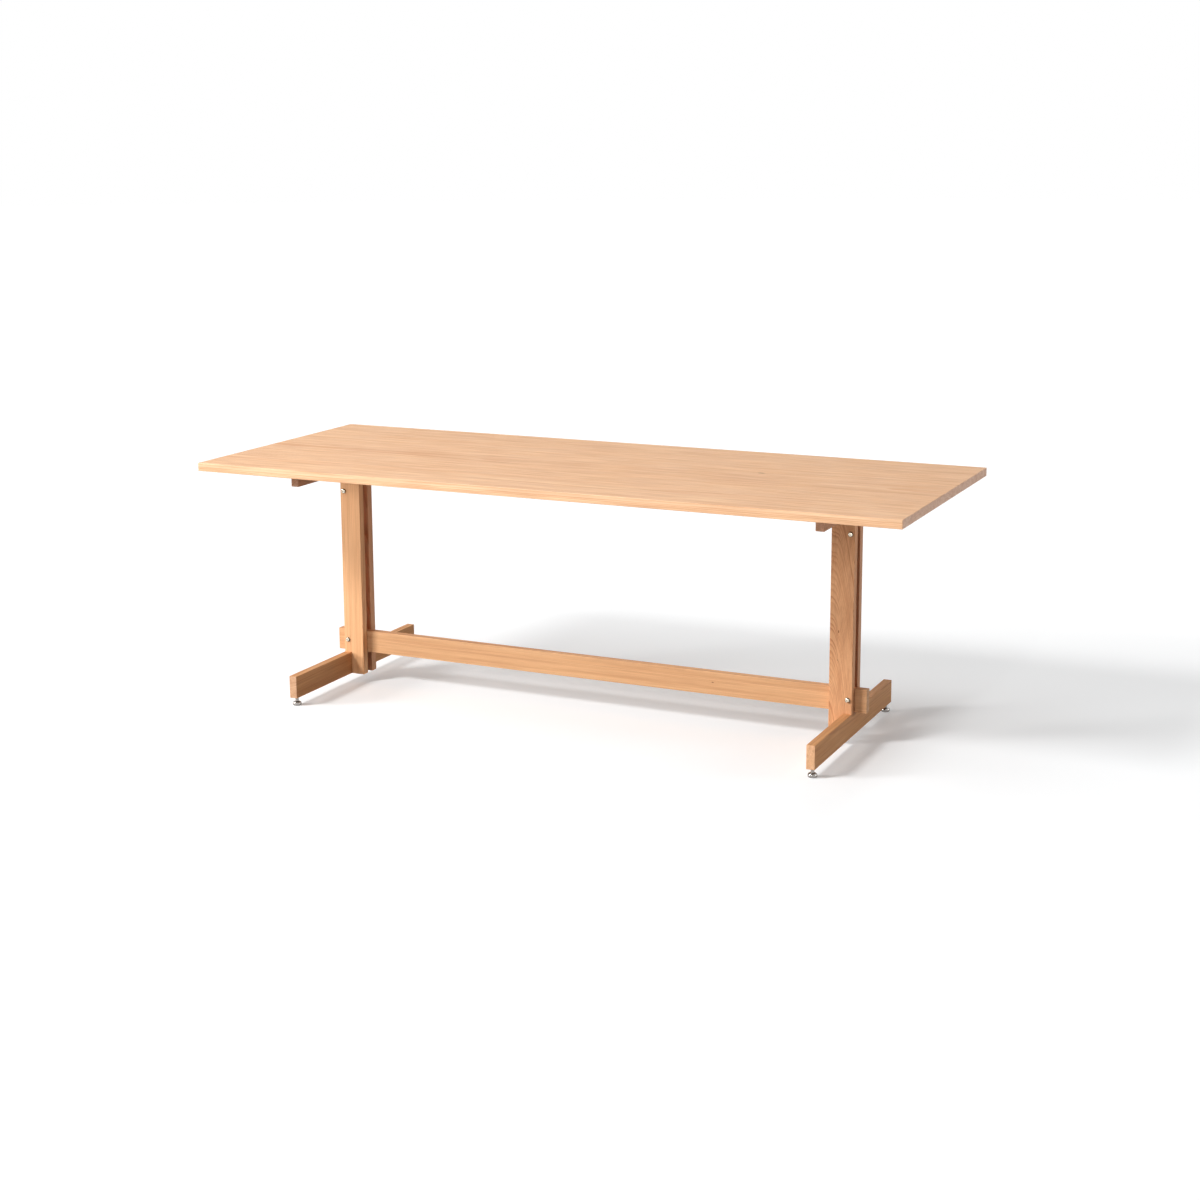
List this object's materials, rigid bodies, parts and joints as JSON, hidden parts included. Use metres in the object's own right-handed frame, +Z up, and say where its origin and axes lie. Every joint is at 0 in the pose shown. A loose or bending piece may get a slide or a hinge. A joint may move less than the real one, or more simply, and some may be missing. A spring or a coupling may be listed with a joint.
{
  "type": "trestle dining table",
  "caption": "Long timber dining table: a flat top on paired-post trestles tied by a low stretcher, with bolted joints and screw-levelled metal feet.",
  "frame": {"origin": "on the floor, under the middle of the top", "axes": "+X along the top, +Y to the back, +Z up"},
  "size_m": [2.1, 0.825, 0.72],
  "materials": {
    "top_timber": "satin oiled softwood",
    "frame_timber": "satin oiled softwood",
    "dowel_timber": "plain turned hardwood",
    "bolt_steel": "polished plated steel",
    "plain_steel": "zinc plated",
    "glide_steel": "polished plated steel"
  },
  "bodies": {
    "table": {"top_board_1": "top_timber", "top_board_2": "top_timber", "top_board_3": "top_timber", "top_board_4": "top_timber", "top_board_5": "top_timber", "left_front_post": "frame_timber", "left_back_post": "frame_timber", "right_front_post": "frame_timber", "right_back_post": "frame_timber", "left_foot_beam": "frame_timber", "right_foot_beam": "frame_timber", "left_bearer": "frame_timber", "right_bearer": "frame_timber", "stretcher": "frame_timber", "through_bolts": "bolt_steel", "sleeve_nuts": "bolt_steel", "post_spacers": "plain_steel", "foot_dowels": "dowel_timber", "bearer_dowels": "dowel_timber", "top_screws": "plain_steel", "screw_washers": "plain_steel", "glide_inserts": "plain_steel"},
    "front_left_pad": {"front_left_glide_pad": "glide_steel"},
    "front_left_stem": {"front_left_glide_stem": "glide_steel"},
    "front_right_pad": {"front_right_glide_pad": "glide_steel"},
    "front_right_stem": {"front_right_glide_stem": "glide_steel"},
    "back_left_pad": {"back_left_glide_pad": "glide_steel"},
    "back_left_stem": {"back_left_glide_stem": "glide_steel"},
    "back_right_pad": {"back_right_glide_pad": "glide_steel"},
    "back_right_stem": {"back_right_glide_stem": "glide_steel"}
  },
  "joints": [
    {"name": "front_left_level", "type": "slide", "parent": "table", "child": "front_left_pad", "axis": [0, 0, 1], "range_m": [-0.012, 0.01]},
    {"name": "front_left_turn", "type": "hinge", "parent": "front_left_pad", "child": "front_left_stem", "pos_m": [-0.798, -0.322, 0.004], "axis": [0, 0, 1], "range_deg": [-2880, 2400]},
    {"name": "front_right_level", "type": "slide", "parent": "table", "child": "front_right_pad", "axis": [0, 0, 1], "range_m": [-0.012, 0.01]},
    {"name": "front_right_turn", "type": "hinge", "parent": "front_right_pad", "child": "front_right_stem", "pos_m": [0.798, -0.322, 0.004], "axis": [0, 0, 1], "range_deg": [-2880, 2400]},
    {"name": "back_left_level", "type": "slide", "parent": "table", "child": "back_left_pad", "axis": [0, 0, 1], "range_m": [-0.012, 0.01]},
    {"name": "back_left_turn", "type": "hinge", "parent": "back_left_pad", "child": "back_left_stem", "pos_m": [-0.798, 0.322, 0.004], "axis": [0, 0, 1], "range_deg": [-2880, 2400]},
    {"name": "back_right_level", "type": "slide", "parent": "table", "child": "back_right_pad", "axis": [0, 0, 1], "range_m": [-0.012, 0.01]},
    {"name": "back_right_turn", "type": "hinge", "parent": "back_right_pad", "child": "back_right_stem", "pos_m": [0.798, 0.322, 0.004], "axis": [0, 0, 1], "range_deg": [-2880, 2400]}
  ],
  "couplings": [
    {"joint": "front_left_turn", "follows": "front_left_level", "rad_per_m": 4188.8},
    {"joint": "front_right_turn", "follows": "front_right_level", "rad_per_m": 4188.8},
    {"joint": "back_left_turn", "follows": "back_left_level", "rad_per_m": 4188.8},
    {"joint": "back_right_turn", "follows": "back_right_level", "rad_per_m": 4188.8}
  ]
}
